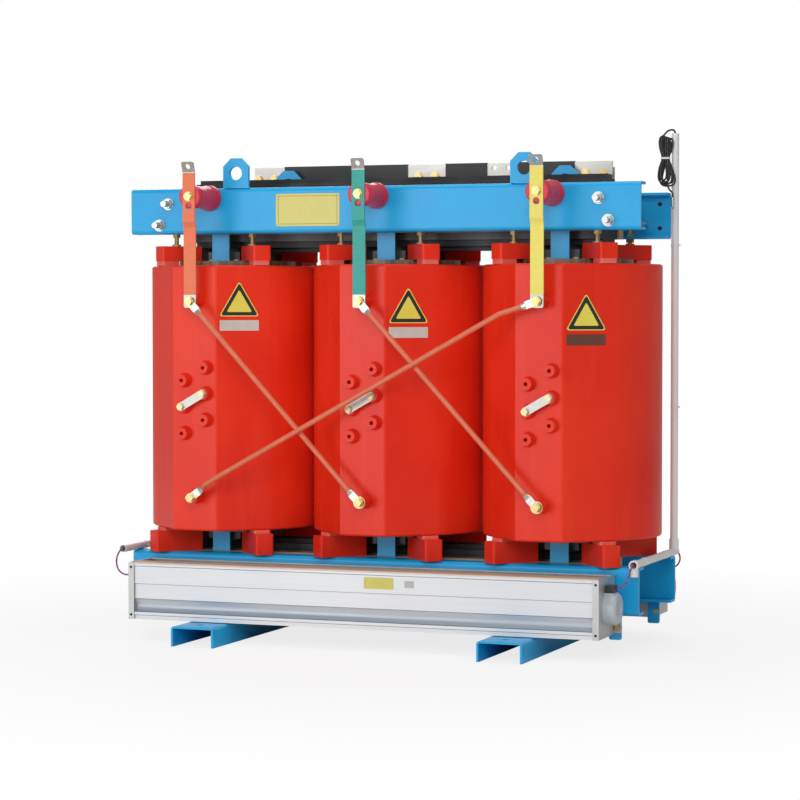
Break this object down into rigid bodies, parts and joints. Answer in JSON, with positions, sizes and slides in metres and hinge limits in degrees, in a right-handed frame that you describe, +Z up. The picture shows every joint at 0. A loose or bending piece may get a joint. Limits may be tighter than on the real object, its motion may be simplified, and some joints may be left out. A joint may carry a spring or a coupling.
{
  "type": "dry type transformer",
  "caption": "Three-phase cast-resin dry type power transformer: round resin coils on a laminated core between folded steel clamps, on base rails, with cross-flow cooling fans along both sides",
  "frame": {"origin": "on the floor under the axis of the middle coil, between the two base rails", "axes": "+X along the row of coils towards the fan motors, +Y from the high-voltage side to the low-voltage side, +Z up"},
  "size_m": [1.4371, 0.86, 1.3593],
  "materials": {
    "base_rail_left": "gloss azure paint",
    "base_rail_right": "gloss azure paint",
    "block_pads": "pink silicone",
    "bracket_bolts": "yellow zinc plating",
    "bus_sleeves": "black heat-shrink",
    "clamp_feet": "gloss azure paint",
    "clamp_tie_rods": "zinc plated",
    "coil_blocks": "red moulded resin",
    "conduit_left": "white conduit",
    "conduit_right": "white conduit",
    "core_limb_a": "varnished laminations",
    "core_limb_b": "varnished laminations",
    "core_limb_c": "varnished laminations",
    "core_packing": "insulating board",
    "delta_rod_ab": "orange brown sleeve",
    "delta_rod_bc": "orange brown sleeve",
    "delta_rod_ca": "orange brown sleeve",
    "fan_brackets": "gloss azure paint",
    "fan_casing_front": "bright anodised",
    "fan_casing_rear": "bright anodised",
    "fan_cover_strips": "brown fibre strip",
    "fan_end_plates": "satin",
    "fan_impeller_front": "satin",
    "fan_impeller_rear": "satin",
    "fan_lead_left": "red and blue twisted leads",
    "fan_lead_rear": "red and blue twisted leads",
    "fan_lead_right": "red and blue twisted leads",
    "fan_motor_front": "grey enamel",
    "fan_motor_rear": "grey enamel",
    "fan_tongues": "bright anodised",
    "hv_bolts": "yellow zinc plating",
    "hv_coil_a": "red cast resin",
    "hv_coil_b": "red cast resin",
    "hv_coil_c": "red cast resin",
    "hv_strip_a": "orange sleeved strip",
    "hv_strip_b": "green sleeved strip",
    "hv_strip_c": "yellow sleeved strip",
    "lifting_lugs": "gloss azure paint",
    "lower_clamp_front": "gloss azure paint",
    "lower_clamp_rear": "gloss azure paint",
    "lower_yoke": "varnished laminations",
    "lv_bolts": "yellow zinc plating",
    "lv_coil_a": "varnished foil winding",
    "lv_coil_b": "varnished foil winding",
    "lv_coil_c": "varnished foil winding",
    "lv_phase_bars": "tinned copper",
    "neutral_bus": "tinned copper",
    "neutral_leads": "tinned copper",
    "post_insulator_a": "crimson resin",
    "post_insulator_b": "crimson resin",
    "post_insulator_c": "crimson resin",
    "pressure_bolts": "yellow zinc plating",
    "sensor_cable": "black sheath",
    "sensor_hank": "black sheath",
    "sensor_plug": "sensor tip",
    "tap_links": "tinned copper",
    "tie_plates": "gloss azure paint",
    "upper_clamp_front": "gloss azure paint",
    "upper_clamp_rear": "gloss azure paint",
    "upper_yoke": "black painted laminations"
  },
  "bodies": {
    "root": {"base_rail_left": "base_rail_left", "base_rail_right": "base_rail_right", "block_pads": "block_pads", "bracket_bolts": "bracket_bolts", "bus_sleeves": "bus_sleeves", "clamp_feet": "clamp_feet", "clamp_tie_rods": "clamp_tie_rods", "coil_blocks": "coil_blocks", "conduit_left": "conduit_left", "conduit_right": "conduit_right", "core_limb_a": "core_limb_a", "core_limb_b": "core_limb_b", "core_limb_c": "core_limb_c", "core_packing": "core_packing", "delta_rod_ab": "delta_rod_ab", "delta_rod_bc": "delta_rod_bc", "delta_rod_ca": "delta_rod_ca", "fan_brackets": "fan_brackets", "fan_casing_front": "fan_casing_front", "fan_casing_rear": "fan_casing_rear", "fan_cover_strips": "fan_cover_strips", "fan_end_plates": "fan_end_plates", "fan_lead_left": "fan_lead_left", "fan_lead_rear": "fan_lead_rear", "fan_lead_right": "fan_lead_right", "fan_motor_front": "fan_motor_front", "fan_motor_rear": "fan_motor_rear", "fan_tongues": "fan_tongues", "hv_bolts": "hv_bolts", "hv_coil_a": "hv_coil_a", "hv_coil_b": "hv_coil_b", "hv_coil_c": "hv_coil_c", "hv_strip_a": "hv_strip_a", "hv_strip_b": "hv_strip_b", "hv_strip_c": "hv_strip_c", "lifting_lugs": "lifting_lugs", "lower_clamp_front": "lower_clamp_front", "lower_clamp_rear": "lower_clamp_rear", "lower_yoke": "lower_yoke", "lv_bolts": "lv_bolts", "lv_coil_a": "lv_coil_a", "lv_coil_b": "lv_coil_b", "lv_coil_c": "lv_coil_c", "lv_phase_bars": "lv_phase_bars", "neutral_bus": "neutral_bus", "neutral_leads": "neutral_leads", "post_insulator_a": "post_insulator_a", "post_insulator_b": "post_insulator_b", "post_insulator_c": "post_insulator_c", "pressure_bolts": "pressure_bolts", "sensor_cable": "sensor_cable", "sensor_hank": "sensor_hank", "sensor_plug": "sensor_plug", "tap_links": "tap_links", "tie_plates": "tie_plates", "upper_clamp_front": "upper_clamp_front", "upper_clamp_rear": "upper_clamp_rear", "upper_yoke": "upper_yoke"},
    "impeller_front": {"fan_impeller_front": "fan_impeller_front"},
    "impeller_rear": {"fan_impeller_rear": "fan_impeller_rear"}
  },
  "joints": [
    {"name": "fan_front_spin", "type": "hinge", "parent": "root", "child": "impeller_front", "pos_m": [0, -0.264, 0.128], "axis": [1, 0, 0], "continuous": true},
    {"name": "fan_rear_spin", "type": "hinge", "parent": "root", "child": "impeller_rear", "pos_m": [0, 0.264, 0.128], "axis": [1, 0, 0], "continuous": true}
  ]
}
